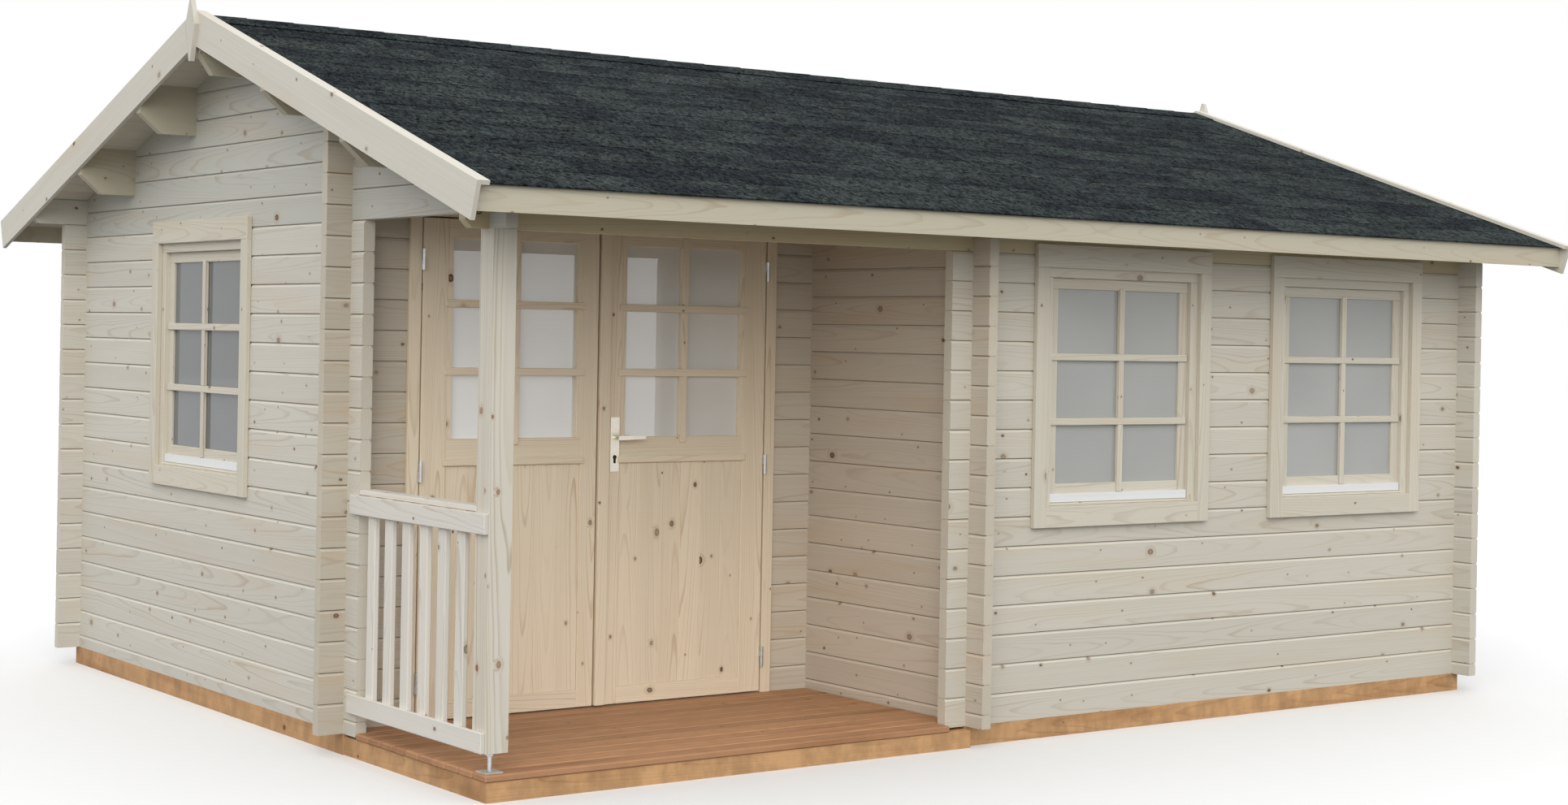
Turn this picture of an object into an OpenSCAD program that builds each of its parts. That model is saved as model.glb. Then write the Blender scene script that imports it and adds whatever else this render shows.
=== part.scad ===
// Garden house of interlocking logs, with a gabled roof and a porch cut into its front left corner.
// Long walls run along X and gable walls along Y. All sizes are millimetres.
// Inside the modules x starts at the left wall, y at the front wall and z under the first logs.

/* [Walls] */
// Length over the left and right walls
house_l = 5030; // [4600:10:5600]
// Depth over the front and back walls
house_d = 3872; // [3600:8:4200]
// Thickness of a log
log_t = 44; // [36:1:56]
// Height of one course of logs
log_h = 114; // [108:1:122]
// Courses under the eaves log
courses = 17; // [16:1:18]
// Log ends that stand past a corner
stub = 100; // [60:5:140]
// Depth of the groove along each log joint
joint_in = 6.5; // [3:0.5:10]
// Height of the groove, under the square edge of the log above
joint_slot = 4; // [2:0.5:6]
// Height of the groove with the slope on the log below
joint_slope = 13; // [8:0.5:18]

/* [Porch] */
// Porch length, from the left wall to the side wall
porch_l = 2093; // [2000:5:2400]
// Porch depth, from the front wall to the door wall
porch_d = 1042; // [980:2:1200]
// Side of the square post
post_w = 88; // [70:2:110]
// How far the post stands in front of the beam
post_front = 30; // [10:2:40]
// Height of the post's lower end above the deck
foot_h = 69; // [50:1:100]
// Side of the foot plate
foot_plate = 66; // [50:2:80]
// Thickness of the foot plate
foot_plate_t = 5; // [3:1:8]
// Diameter of the foot's threaded rod
foot_rod_d = 14; // [10:1:20]
// Width over the flats of the foot's nut
foot_nut_d = 22; // [20:1:30]
// Height of the foot's nut
foot_nut_h = 14; // [8:1:18]
// End of the beam past the gable
beam_end = 90; // [80:2:130]
// Chamfer under the beam's end
beam_chamfer = 26; // [10:2:40]
// Gable log end in front of the beam
gable_stub = 112; // [90:2:130]

/* [Railing] */
// Thickness of the two rails
rail_t = 16; // [12:1:25]
// Height of the two rails
rail_w = 70; // [50:2:90]
// Underside of the top rail
top_rail_z = 810; // [700:10:900]
// Underside of the bottom rail
low_rail_z = 86; // [80:2:140]
// Length of rail that lies on the log ends
rail_lap = 48; // [30:2:60]
// Width of the handrail
handrail_w = 62; // [40:2:80]
// Thickness of the handrail
handrail_t = 20; // [15:1:30]
// Width of a baluster
baluster_w = 58; // [40:2:70]
// Thickness of a baluster
baluster_t = 20; // [14:1:28]
// Number of balusters
balusters_n = 6; // [5:1:7]

/* [Base] */
// Height of the base beams
base_h = 78; // [60:2:110]
// Width of the base beams
base_w = 70; // [45:5:100]
// Width of a joist
joist_w = 45; // [35:5:60]
// Rows of joists under the room's back part
joist_rows = 4; // [3:1:6]
// Joists under the porch
porch_joist_n = 5; // [4:1:7]
// Thickness of the deck boards
deck_t = 25; // [20:1:32]
// Top of the deck above the underside of the logs
deck_top = 15; // [8:1:20]
// Edge of the deck in front of the front wall
deck_front = 40; // [34:2:60]
// Deck edge past the beams below it
deck_lip = 6; // [2:1:12]
// Thickness of the room's floor
floor_t = 18; // [14:1:28]
// Gap round the floor and the deck
floor_gap = 4; // [2:1:8]

/* [Roof] */
// Pitch of the roof in degrees
roof_pitch = 18.1; // [14:0.1:24]
// Height of the eaves log at its outer face
eaves_log_h = 101; // [85:1:112]
// Thickness of the roof boards
board_t = 20; // [16:1:28]
// Thickness of the shingles
shingle_t = 5; // [4:0.5:10]
// Gap under the shingles, where they lie on the boards
lay_gap = 0.2; // [0.1:0.05:0.4]
// Roof past each gable wall
gable_over = 241; // [200:1:300]
// Roof boards past the front and back walls
eaves_over = 320; // [280:5:380]
// Shingles past the fascia
drip = 8; // [4:1:12]
// Thickness of the fascia
fascia_t = 18; // [14:1:25]
// Fascia below the roof boards
fascia_drop = 73.5; // [60:0.5:110]
// Thickness of the barge boards
barge_t = 16; // [14:1:25]
// Width of the barge boards
barge_w = 131; // [110:1:150]
// Barge boards past the front and back walls
barge_over = 388; // [370:2:420]
// Width of the cap strip behind each barge board
cap_w = 30; // [20:1:50]
// Thickness of the cap strip
cap_t = 15; // [10:1:25]
// Thickness of the finials
finial_t = 19; // [14:1:25]
// Half of the finial's greatest width
finial_half = 48; // [35:1:60]
// Half of the finial's blunt foot and tip
finial_tip = 6; // [3:1:10]
// Finial above the barge boards' ridge
finial_up = 40; // [25:1:60]
// Finial's widest point below the ridge
finial_mid = 59; // [40:1:75]
// Finial's foot below the ridge
finial_down = 201; // [180:1:230]

/* [Purlins] */
// Face of the upper purlins from the ridge
upper_purlin_y = 605; // [560:5:660]
// Face of the lower purlins from the ridge
lower_purlin_y = 1290; // [1220:5:1360]
// Depth of the purlins below the roof boards
purlin_h = 200; // [150:5:230]
// Square length left on a purlin's underside past the gable
purlin_square = 150; // [100:5:190]
// Rise of the cut end of a purlin
purlin_cut = 80; // [50:5:110]
// Square length left on the ridge purlin's underside
ridge_square = 185; // [120:5:210]
// Chamfer under the eaves logs' ends
eaves_chamfer = 22; // [10:1:40]

/* [Doors] */
// Left side of the door opening in the door wall
door_x = 240; // [210:2:270]
// Wall between the door opening and the porch's side wall
door_side = 203; // [180:1:230]
// Thickness of the door frame
jamb_t = 38; // [30:1:45]
// Thickness of the frame's head
head_t = 28; // [22:1:40]
// Width of the door casing
door_casing_w = 48; // [40:1:60]
// Thickness of the door casing
door_casing_t = 18; // [14:1:22]
// Width of the stop behind the leaves
stop_w = 18; // [12:1:25]
// Thickness of the stop behind the leaves
stop_t = 11; // [8:1:13]
// Thickness of a door leaf
leaf_t = 42; // [38:1:44]
// Leaf face in front of the door wall
leaf_out = 16; // [10:1:17]
// Width of the right leaf over that of the left one
leaf_extra = 28; // [20:1:40]
// Gap round the leaves
leaf_gap = 6; // [5:0.5:8]
// Gap between the two leaves
meeting_gap = 8; // [7:0.5:10]
// Gap under the leaves
sill_gap = 7; // [5:0.5:10]
// Outer stile of each leaf
outer_stile = 126; // [110:2:140]
// Meeting stile of the left leaf
meeting_stile = 93; // [80:1:110]
// Bottom of the glass opening
leaf_glass_z = 1075; // [1040:5:1100]
// Top rail of a leaf
leaf_top_rail = 74; // [60:2:100]
// Bottom rail of a leaf
leaf_low_rail = 68; // [50:2:90]
// Top of the lower panel
panel_top = 973; // [900:5:980]
// Lower panel past the glass opening
panel_side = 20; // [10:1:25]
// Depth of the lower panel
panel_in = 6; // [3:1:10]
// Width of the cover strip on the right leaf
cover_w = 47; // [35:1:50]
// Thickness of the cover strip
cover_t = 9; // [6:1:12]

/* [Door hardware] */
// Radius of the hinge barrels
barrel_r = 7; // [6:0.5:8]
// Length of one half of a barrel
barrel_half = 40; // [30:1:50]
// Radius of the hinge pins
pin_r = 4; // [3:0.25:4.5]
// Radial clearance of the pins and of the lever
run_fit = 0.05; // [0.02:0.01:0.1]
// Hinge axis in front of the leaf
hinge_out = 10; // [9:0.5:12]
// Middle of the lowest hinge above the leaf's bottom
hinge_low = 143; // [120:1:200]
// Middle of the highest hinge below the leaf's top
hinge_high = 157; // [120:1:200]
// Middle of the handle plate from the right leaf's edge
handle_x = 74; // [72:1:90]
// Width of the handle plate
plate_w = 40; // [34:1:44]
// Thickness of the handle plate
plate_t = 4; // [3:0.5:6]
// Bottom of the handle plate
plate_z = 939; // [900:1:960]
// Height of the handle plate
plate_h = 214; // [200:1:240]
// Height of the lever's axis
lever_z = 1073; // [1050:1:1090]
// Radius of the lever's boss
lever_boss_r = 9; // [7:0.5:11]
// Lever in front of the leaf
lever_out = 46; // [40:1:60]
// Length of the lever
lever_l = 118; // [100:1:150]
// Thickness of the lever
lever_t = 10; // [8:1:14]
// Height of the lever at its end
lever_end = 11; // [8:1:16]

/* [Windows] */
// Casing width of the front windows, as a share of the front wall beside the porch
win_share = 0.3385; // [0.3:0.001:0.36]
// Casing height of every window
win_h = 1117; // [1060:1:1140]
// Casing top below the eaves logs
win_drop = 72; // [60:1:90]
// Middle of the left front window, as a share of that wall
front_share_1 = 0.2647; // [0.24:0.001:0.28]
// Middle of the right front window, as a share of that wall
front_share_2 = 0.7339; // [0.72:0.001:0.76]
// Middle of the gable window, as a share of the room's depth behind the door wall
gable_share = 0.4975; // [0.4:0.001:0.6]
// Casing width of the gable window, as a share of that depth
gable_win_share = 0.3676; // [0.3:0.001:0.4]
// Thickness of the casing
casing_t = 22; // [16:1:28]
// Side boards of the casing
casing_side = 62; // [50:1:90]
// Head board of the casing
casing_head = 92; // [80:1:110]
// Bottom board of the casing
casing_low = 82; // [60:1:100]
// Casing over the frame
casing_lap = 17; // [10:1:25]
// Frame seen inside the casing, at the sides and the top
frame_show = 38; // [30:1:45]
// Frame seen over the casing's bottom board
frame_low = 28; // [20:1:40]
// Gap between a window's frame and the logs
frame_fit = 0.3; // [0.2:0.1:3]
// Sash face behind the wall face
sash_in = 20; // [8:1:24]
// Sides of the sash
sash_side = 46; // [34:1:52]
// Top rail of the sash
sash_top = 44; // [36:1:52]
// Bottom rail of the sash
sash_low = 60; // [50:1:70]
// Thickness of all glass
glass_t = 4; // [3:0.5:6]
// Glass let into its frame
glass_in = 6; // [4:0.5:10]

/* [Hidden] */
$fn = 48;
// How far a cut runs past the solid that it cuts
past = 2;
// A height above the whole house
high = 4000;
// Share of a course that each lap takes from a log, at its top and at its underside
lap_share = 0.25;
half_course = log_h / 2;
eaves_z = courses * log_h;
beam_z = eaves_z - log_h;
gable_z = eaves_z - half_course;
mid = house_d / 2;
seat_z = eaves_z + eaves_log_h;
ridge_z = seat_z + mid * tan(roof_pitch);
// Heights that the roof's layers take, measured straight up
board_v = board_t / cos(roof_pitch);
shingle_v = shingle_t / cos(roof_pitch);
lay_v = lay_gap / cos(roof_pitch);
cap_v = cap_t / cos(roof_pitch);
barge_v = barge_w / cos(roof_pitch);
cover_z = ridge_z + board_v + lay_v + shingle_v;
barge_z = cover_z + lay_v + cap_v;
fascia_y = eaves_over + fascia_t;
right_x = house_l - log_t;
back_y = house_d - log_t;
// Laps in the highest walls
top_course = ceil(ridge_z / log_h);
lower_purlin_z = ridge_z - lower_purlin_y * tan(roof_pitch) - purlin_h;
upper_purlin_z = ridge_z - upper_purlin_y * tan(roof_pitch) - purlin_h;
ridge_purlin_z = ridge_z - log_t / 2 * tan(roof_pitch) - purlin_h;
// Door
door_y = porch_d;
door_end = porch_l - door_side;
door_w = door_end - door_x;
jamb_in = door_x + jamb_t;
jamb_far = door_end - jamb_t;
leaf_y = door_y - leaf_out;
leaf_z = deck_top + sill_gap;
leaf_top = eaves_z - head_t - leaf_gap;
leaf_h = leaf_top - leaf_z;
left_leaf_x = jamb_in + leaf_gap;
left_leaf_w = (jamb_far - jamb_in - 2 * leaf_gap - meeting_gap - leaf_extra) / 2;
right_leaf_x = left_leaf_x + left_leaf_w + meeting_gap;
right_leaf_w = left_leaf_w + leaf_extra;
hinge_y = leaf_y - hinge_out;
left_hinge_x = jamb_in + leaf_gap / 2;
right_hinge_x = jamb_far - leaf_gap / 2;
hinge_first = leaf_z + hinge_low;
hinge_last = leaf_top - hinge_high;
hinge_zs = [hinge_first, (hinge_first + hinge_last) / 2, hinge_last];
leaf_glass_w = left_leaf_w - outer_stile - meeting_stile;
leaf_glass_h = leaf_top - leaf_top_rail - leaf_glass_z;
left_glass_x = left_leaf_x + outer_stile;
right_glass_x = jamb_far - leaf_gap - outer_stile - leaf_glass_w;
glass_y = leaf_y + leaf_t / 2;
lever_x = right_leaf_x + handle_x;
pin_reach = barrel_half - 4;
// A hinge's web, from its axis to the face that holds it
web_w = barrel_r + 2;
half_joint = 1;
// Windows
bay_x = porch_l + log_t;
bay_l = right_x - bay_x;
win_w = win_share * bay_l;
front_win_1 = bay_x + front_share_1 * bay_l;
front_win_2 = bay_x + front_share_2 * bay_l;
gable_bay = back_y - door_y - log_t;
gable_win_w = gable_win_share * gable_bay;
gable_win = door_y + log_t + gable_share * gable_bay;
win_top = eaves_z - win_drop;
win_z = win_top - win_h;
open_low = casing_low - casing_lap;
open_h = win_h - casing_head - casing_low + 2 * casing_lap;
sash_z = casing_low + frame_low;
sash_h = win_h - casing_head - casing_low - frame_show - frame_low;
pane_z = sash_z + sash_low;
pane_h = sash_h - sash_low - sash_top;
pane_y = sash_in + (log_t - sash_in) / 2;
// Porch
post_bottom = deck_top + foot_h;
post_x = post_w / 2;
post_y = post_w / 2 - post_front;
post_back = post_w - post_front;
stub_end = door_y - stub;
rail_end = stub_end + rail_lap;
handrail_z = top_rail_z + rail_w;
baluster_pitch = (stub_end - post_back + baluster_w) / (balusters_n + 1);
baluster_low = low_rail_z + rail_t / 2;
beam_low = deck_top - deck_t;

SPRUCE = [0.80, 0.76, 0.68];
TREATED = [0.62, 0.43, 0.28];
SLATE = [0.17, 0.18, 0.19];
STEEL = [0.72, 0.73, 0.74];
GLASS = [0.62, 0.66, 0.68, 0.5];

// Moves the house so that its origin lies under its middle
module house() {
    translate([-house_l / 2, -house_d / 2, base_h]) children();
}

module mirrored_x() {
    translate([house_l, 0, 0]) mirror([1, 0, 0]) children();
}

module mirrored_y() {
    translate([0, house_d, 0]) mirror([0, 1, 0]) children();
}

// Extrudes an outline drawn in y and z along X
module along_x(x0, length) {
    translate([x0, 0, 0]) rotate([90, 0, 90]) linear_extrude(length) children();
}

// Extrudes an outline drawn in x and z along Y
module along_y(y0, length) {
    translate([0, y0 + length, 0]) rotate([90, 0, 0]) linear_extrude(length) children();
}

function under_roof_z(y) = seat_z + (mid - abs(y - mid)) * tan(roof_pitch);

function joints(z0, z1, shift) = [
    for (k = [floor(z0 / log_h) - 1 : ceil(z1 / log_h) + 1])
        let (z = (k + shift) * log_h)
        if (z > z0 + joint_slope && z < z1 - joint_slope) z
];

// The upper edge of a log that ends at z: a slope, and a groove under the next log
function log_edge(z) = [[0, z - joint_slope], [joint_in, z - joint_slot], [joint_in, z]];

// One face of a stack of logs
function log_face(z0, z1, shift) = concat(
    [[0, z0]],
    [for (z = joints(z0, z1, shift)) each concat(log_edge(z), [[0, z]])],
    log_edge(z1)
);

function turned(points) = [
    for (i = [len(points) - 1 : -1 : 0]) [log_t - points[i][0], points[i][1]]
];

module log_stack(z0, z1, shift) {
    face = log_face(z0, z1, shift);
    polygon(concat(face, turned(face)));
}

// Logs along X: their joints lie on whole courses
module x_logs(x0, x1, y0, z0, z1) {
    translate([0, y0, 0]) along_x(x0, x1 - x0) log_stack(z0, z1, 0);
}

// Logs along Y: they start with half a log, so their joints lie half a course higher
module y_logs(y0, y1, x0, z0, z1) {
    translate([x0, 0, 0]) along_y(y0, y1 - y0) log_stack(z0, z1, 0.5);
}

// Laps cut from logs along X where logs along Y cross them at x0
module x_laps(x0, y0, first, last) {
    for (k = [first : last])
        translate([x0, y0 - past, (k - lap_share) * log_h])
            cube([log_t, log_t + 2 * past, 2 * lap_share * log_h]);
}

// Laps cut from logs along Y where logs along X cross them at y0
module y_laps(x0, y0, last) {
    for (k = [0 : last])
        translate([x0 - past, y0, (k + lap_share) * log_h])
            cube([log_t + 2 * past, log_t, (1 - 2 * lap_share) * log_h]);
}

// Laps up to the eaves, and the seat of the eaves log above them
module eaves_laps(x0, y0) {
    y_laps(x0, y0, courses - 1);
    translate([x0 - past, y0, (courses + lap_share) * log_h])
        cube([log_t + 2 * past, log_t, high]);
}

module below_roof() {
    far = barge_over;
    along_x(-2 * gable_over, house_l + 4 * gable_over)
        polygon([
            [-far, -base_h],
            [house_d + far, -base_h],
            [house_d + far, under_roof_z(house_d + far)],
            [mid, ridge_z],
            [-far, under_roof_z(-far)]
        ]);
}

// Seats of the purlins in a wall along Y at x0
module purlin_seats(x0) {
    for (y = [lower_purlin_y, upper_purlin_y]) {
        z = ridge_z - y * tan(roof_pitch) - purlin_h;
        for (side = [mid + y, mid - y - log_t])
            translate([x0 - past, side, z]) cube([log_t + 2 * past, log_t, high]);
    }
    translate([x0 - past, mid - log_t / 2, ridge_purlin_z]) cube([log_t + 2 * past, log_t, high]);
}

// Base

module base_long_beams() {
    color(TREATED) house() {
        translate([0, house_d - base_w, -base_h]) cube([house_l, base_w, base_h]);
        translate([porch_l, 0, -base_h]) cube([house_l - porch_l, base_w, base_h]);
        translate([0, door_y, -base_h]) cube([porch_l, base_w, base_h]);
    }
}

module base_cross_beams() {
    back_len = house_d - 2 * base_w - door_y;
    color(TREATED) house() {
        translate([0, door_y + base_w, -base_h]) cube([base_w, back_len, base_h]);
        translate([house_l - base_w, base_w, -base_h])
            cube([base_w, house_d - 2 * base_w, base_h]);
        translate([porch_l, base_w, -base_h]) cube([base_w, door_y, base_h]);
    }
}

module floor_joists() {
    back_y0 = door_y + base_w;
    pitch = (house_d - base_w - back_y0) / (joist_rows + 1);
    color(TREATED) house() {
        for (k = [1 : joist_rows])
            translate([base_w, back_y0 + k * pitch - joist_w / 2, -base_h])
                cube([house_l - 2 * base_w, joist_w, base_h]);
        translate([porch_l + base_w, (base_w + door_y) / 2 - joist_w / 2, -base_h])
            cube([house_l - porch_l - 2 * base_w, joist_w, base_h]);
    }
}

// Floor of the L-shaped room, cut round the log ends that stand in it
module room_floor() {
    low = log_t + floor_gap;
    side_x = porch_l + log_t + floor_gap;
    side_y = door_y + log_t + floor_gap;
    color(SPRUCE) house() difference() {
        linear_extrude(floor_t)
            polygon([
                [side_x, low],
                [right_x - floor_gap, low],
                [right_x - floor_gap, back_y - floor_gap],
                [low, back_y - floor_gap],
                [low, side_y],
                [side_x, side_y]
            ]);
        translate([porch_l - floor_gap, door_y, -past])
            cube([log_t + 2 * floor_gap, log_t + stub + floor_gap, high]);
        translate([porch_l, door_y - floor_gap, -past])
            cube([log_t + stub + floor_gap, log_t + 2 * floor_gap, high]);
        translate([jamb_in, door_y, -past])
            cube([jamb_far - jamb_in, log_t + floor_gap + past, high]);
    }
}

module porch_front_beam() {
    color(TREATED) house()
        translate([deck_lip, deck_lip - deck_front, -base_h])
            cube([porch_l - deck_lip, joist_w, base_h + beam_low]);
}

module porch_joists() {
    first = joist_w + deck_lip - deck_front;
    pitch = (porch_l - deck_lip - joist_w) / (porch_joist_n - 1);
    color(TREATED) house()
        for (k = [0 : porch_joist_n - 1])
            translate([deck_lip + k * pitch, first, -base_h])
                cube([joist_w, door_y - first, base_h + beam_low]);
}

module porch_deck() {
    color(TREATED) house() difference() {
        translate([0, -deck_front, beam_low])
            cube([porch_l - floor_gap, door_y + deck_front, deck_t]);
        translate([-past, stub_end - floor_gap, -past - deck_t])
            cube([past + log_t + floor_gap, high, high]);
        translate([porch_l - stub - floor_gap, -high, -past - deck_t])
            cube([high, high + log_t + floor_gap, high]);
        translate([-past, door_y, -deck_t]) cube([high, past, high]);
    }
}

// Log walls

// Widths inside a window whose casing is w wide
function open_w(w) = w - 2 * casing_side + 2 * casing_lap;
function sash_w(w) = w - 2 * casing_side - 2 * frame_show;
function pane_w(w) = sash_w(w) - 2 * sash_side;

// Places of the windows, drawn facing -Y with the casing's middle at x = 0 and its bottom at z = 0
module at_front_windows() {
    for (x = [front_win_1, front_win_2])
        translate([x, 0, win_z]) children();
}

module at_gable_window() {
    translate([0, gable_win, win_z + half_course]) rotate([0, 0, -90]) children();
}

// The hole in the logs for a window whose casing is w wide
module window_hole(w) {
    translate([-open_w(w) / 2 - frame_fit, -past, open_low - frame_fit])
        cube([open_w(w) + 2 * frame_fit, log_t + 2 * past, open_h + 2 * frame_fit]);
}

module left_wall() {
    color(SPRUCE) house() difference() {
        y_logs(stub_end, house_d + stub, 0, 0, gable_z);
        y_laps(0, door_y, courses - 1);
        y_laps(0, back_y, courses - 1);
        at_gable_window() window_hole(gable_win_w);
    }
}

module left_gable() {
    color(SPRUCE) house() intersection() {
        below_roof();
        union() {
            difference() {
                y_logs(-gable_stub, house_d + stub, 0, gable_z, high);
                eaves_laps(0, 0);
                eaves_laps(0, back_y);
                y_laps(0, door_y, top_course);
                purlin_seats(0);
            }
            translate([0, -gable_stub, beam_z])
                cube([log_t, gable_stub, half_course + joint_slot]);
        }
    }
}

module right_wall() {
    color(SPRUCE) house() intersection() {
        below_roof();
        difference() {
            y_logs(-stub, house_d + stub, right_x, 0, high);
            eaves_laps(right_x, 0);
            eaves_laps(right_x, back_y);
            purlin_seats(right_x);
        }
    }
}

module back_wall() {
    color(SPRUCE) house() difference() {
        x_logs(-stub, house_l + stub, back_y, 0, eaves_z);
        x_laps(0, back_y, 0, courses);
        x_laps(right_x, back_y, 0, courses);
    }
}

module front_wall() {
    color(SPRUCE) house() difference() {
        x_logs(porch_l - stub, house_l + stub, 0, 0, beam_z);
        x_laps(porch_l, 0, 0, courses);
        x_laps(right_x, 0, 0, courses);
        at_front_windows() window_hole(win_w);
    }
}

module door_wall_left() {
    color(SPRUCE) house() difference() {
        x_logs(-stub, door_x, door_y, 0, eaves_z);
        x_laps(0, door_y, 0, courses);
    }
}

module door_wall_right() {
    color(SPRUCE) house() difference() {
        x_logs(door_end, porch_l + log_t + stub, door_y, 0, eaves_z);
        x_laps(porch_l, door_y, 0, courses);
    }
}

module door_wall_top() {
    color(SPRUCE) house() intersection() {
        below_roof();
        difference() {
            x_logs(-stub, porch_l + log_t + stub, door_y, eaves_z, high);
            x_laps(0, door_y, courses, top_course);
            x_laps(porch_l, door_y, courses, top_course);
        }
    }
}

module porch_side_wall() {
    color(SPRUCE) house() intersection() {
        below_roof();
        difference() {
            y_logs(-stub, door_y + log_t + stub, porch_l, 0, high);
            eaves_laps(porch_l, 0);
            y_laps(porch_l, door_y, top_course);
            purlin_seats(porch_l);
        }
    }
}

// The top course of the front wall, which runs on over the porch as its beam
module front_beam() {
    color(SPRUCE) house() difference() {
        x_logs(-beam_end, house_l + stub, 0, beam_z, eaves_z);
        x_laps(0, 0, courses, courses);
        x_laps(porch_l, 0, courses - 1, courses);
        x_laps(right_x, 0, courses - 1, courses);
        along_y(-past, log_t + 2 * past)
            polygon([
                [-beam_end - past, beam_z - past],
                [-beam_end + beam_chamfer + past, beam_z - past],
                [-beam_end - past, beam_z + beam_chamfer + past]
            ]);
    }
}

module eaves_log() {
    end = gable_over - eaves_chamfer;
    intersection() {
        below_roof();
        along_y(0, log_t)
            polygon([
                [-gable_over, eaves_z + eaves_chamfer],
                [-end, eaves_z],
                [house_l + end, eaves_z],
                [house_l + gable_over, eaves_z + eaves_chamfer],
                [house_l + gable_over, high],
                [-gable_over, high]
            ]);
    }
}

module front_eaves_log() {
    color(SPRUCE) house() difference() {
        eaves_log();
        x_laps(0, 0, courses, courses);
        x_laps(porch_l, 0, courses, courses);
        x_laps(right_x, 0, courses, courses);
    }
}

module back_eaves_log() {
    color(SPRUCE) house() difference() {
        mirrored_y() eaves_log();
        x_laps(0, back_y, courses, courses);
        x_laps(right_x, back_y, courses, courses);
    }
}

// Roof

// A purlin with its front face at y, its underside at z and its ends cut back under the gables
module purlin(y, z, square) {
    intersection() {
        below_roof();
        along_y(y, log_t)
            polygon([
                [-square, z],
                [house_l + square, z],
                [house_l + gable_over, z + purlin_cut],
                [house_l + gable_over, high],
                [-gable_over, high],
                [-gable_over, z + purlin_cut]
            ]);
    }
}

module back_purlin_pair() {
    purlin(mid + lower_purlin_y, lower_purlin_z, purlin_square);
    purlin(mid + upper_purlin_y, upper_purlin_z, purlin_square);
}

module ridge_purlin() {
    color(SPRUCE) house() purlin(mid - log_t / 2, ridge_purlin_z, ridge_square);
}

module back_purlins() {
    color(SPRUCE) house() back_purlin_pair();
}

module front_purlins() {
    color(SPRUCE) house() mirrored_y() back_purlin_pair();
}

// A layer of the front slope, from the ridge down to y, between two heights over the roof's underside
module slope_layer(y, low, top) {
    along_x(-gable_over, house_l + 2 * gable_over)
        polygon([
            [y, under_roof_z(y) + low],
            [mid, ridge_z + low],
            [mid, ridge_z + top],
            [y, under_roof_z(y) + top]
        ]);
}

module front_boards() {
    slope_layer(-eaves_over, 0, board_v);
}

module front_shingles() {
    slope_layer(-fascia_y - drip, board_v + lay_v, board_v + lay_v + shingle_v);
}

module roof_boards_front() {
    color(SPRUCE) house() front_boards();
}

module roof_boards_back() {
    color(SPRUCE) house() mirrored_y() front_boards();
}

module shingles_front() {
    color(SLATE) house() front_shingles();
}

module shingles_back() {
    color(SLATE) house() mirrored_y() front_shingles();
}

// A board along the front slope's edge, hanging below the barge boards' top edge by deep
module verge_board(x0, thick, deep) {
    end_z = barge_z - (mid + barge_over) * tan(roof_pitch);
    along_x(x0, thick)
        polygon([
            [mid, barge_z],
            [-barge_over, end_z],
            [-barge_over + deep * sin(roof_pitch), end_z - deep * cos(roof_pitch)],
            [mid, barge_z - deep / cos(roof_pitch)]
        ]);
}

module barge() {
    verge_board(-gable_over - barge_t, barge_t, barge_w);
    verge_board(-gable_over, cap_w, cap_t);
}

module left_barge_front() {
    color(SPRUCE) house() barge();
}

module left_barge_back() {
    color(SPRUCE) house() mirrored_y() barge();
}

module right_barge_front() {
    color(SPRUCE) house() mirrored_x() barge();
}

module right_barge_back() {
    color(SPRUCE) house() mirrored_x() mirrored_y() barge();
}

module finial() {
    along_x(-gable_over - barge_t - finial_t, finial_t)
        translate([mid, barge_z])
            polygon([
                [-finial_tip, finial_up],
                [-finial_half, -finial_mid],
                [-finial_tip, -finial_down],
                [finial_tip, -finial_down],
                [finial_half, -finial_mid],
                [finial_tip, finial_up]
            ]);
}

module finials() {
    color(SPRUCE) house() {
        finial();
        mirrored_x() finial();
    }
}

module fascia() {
    low = under_roof_z(-eaves_over) - fascia_drop;
    along_x(-gable_over, house_l + 2 * gable_over)
        polygon([
            [-fascia_y, low],
            [-eaves_over, low],
            [-eaves_over, under_roof_z(-eaves_over) + board_v],
            [-fascia_y, under_roof_z(-fascia_y) + board_v]
        ]);
}

module fascias() {
    color(SPRUCE) house() {
        fascia();
        mirrored_y() fascia();
    }
}

// Porch post and railing

module porch_post() {
    color(SPRUCE) house()
        translate([0, -post_front, post_bottom]) cube([post_w, post_w, beam_z - post_bottom]);
}

module post_foot() {
    color(STEEL) house() translate([post_x, post_y, 0]) {
        translate([-foot_plate / 2, -foot_plate / 2, deck_top])
            cube([foot_plate, foot_plate, foot_plate_t]);
        translate([0, 0, deck_top]) cylinder(d = foot_rod_d, h = foot_h);
        translate([0, 0, post_bottom - foot_nut_h])
            cylinder(d = foot_nut_d / cos(30), h = foot_nut_h, $fn = 6);
    }
}

module rails() {
    color(SPRUCE) house()
        for (z = [low_rail_z, top_rail_z])
            translate([-rail_t, -post_front, z]) cube([rail_t, rail_end + post_front, rail_w]);
}

module handrail() {
    color(SPRUCE) house()
        translate([0, post_back, handrail_z])
            cube([handrail_w, stub_end - post_back, handrail_t]);
}

module balusters() {
    color(SPRUCE) house()
        for (k = [1 : balusters_n])
            translate([0, post_back - baluster_w + k * baluster_pitch, baluster_low])
                cube([baluster_t, baluster_w, handrail_z - baluster_low]);
}

// Door

// Outline of a three-sided surround of the doorway
module door_surround(out, low, top) {
    difference() {
        translate([door_x - out, low]) square([door_w + 2 * out, top - low]);
        translate([jamb_in, low - past])
            square([jamb_far - jamb_in, eaves_z - head_t - low + past]);
    }
}

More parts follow.
